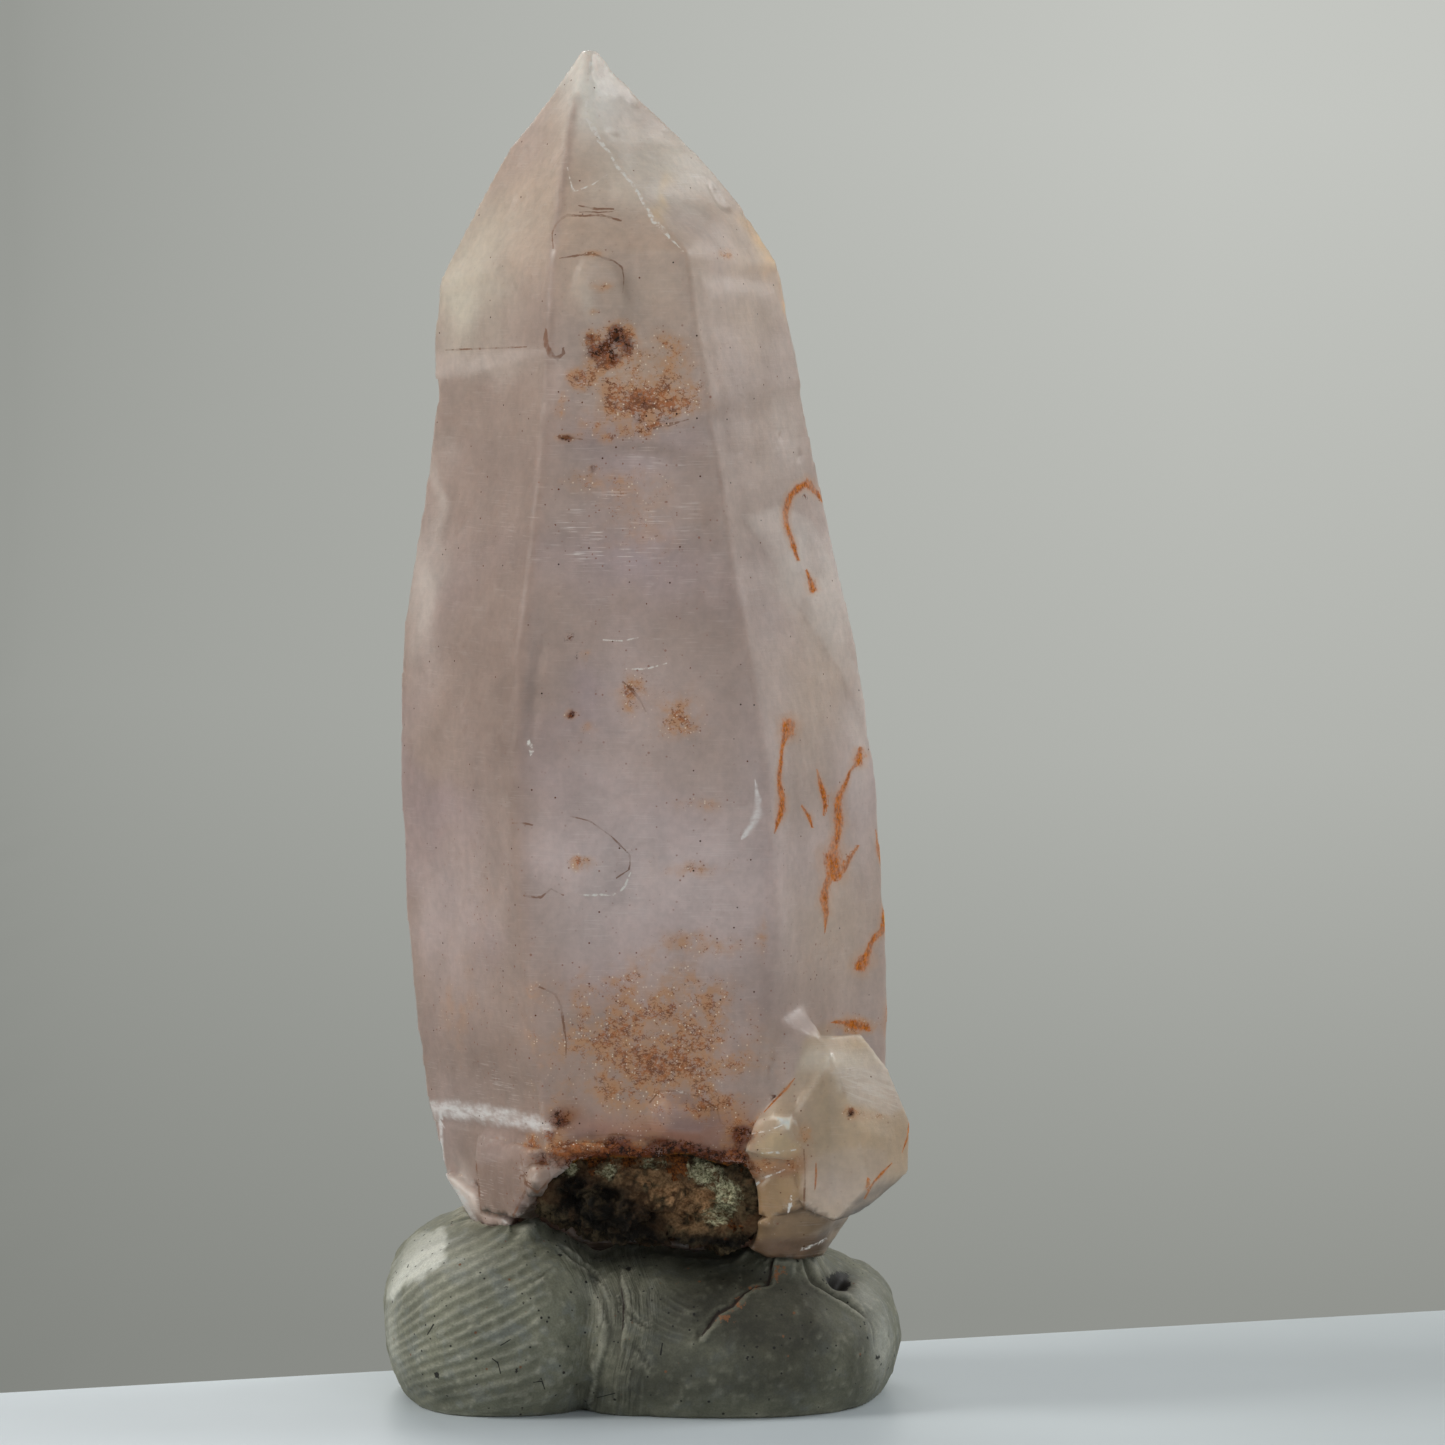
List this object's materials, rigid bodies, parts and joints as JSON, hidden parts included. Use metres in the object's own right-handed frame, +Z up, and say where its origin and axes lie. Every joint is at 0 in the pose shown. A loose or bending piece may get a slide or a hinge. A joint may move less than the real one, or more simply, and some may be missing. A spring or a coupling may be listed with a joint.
{
  "type": "amethyst crystal specimen",
  "caption": "Skeletal amethyst point standing on its broken foot in a lump of putty, with small quartz crystals and a matrix crust at the base.",
  "frame": {"origin": "middle of the whole specimen's outline seen from above, on the flat underside of its putty", "axes": "+Z up along the crystal to its tip, -Y the broad front face seen in the picture, +X to the viewer's right"},
  "size_m": [0.0192, 0.015, 0.049],
  "materials": {
    "amethyst": "satin",
    "matrix": "matte",
    "putty": "matte"
  },
  "bodies": {
    "root": {"amethyst_point": "amethyst", "matrix_crust": "matrix", "putty_base": "putty"}
  },
  "joints": []
}
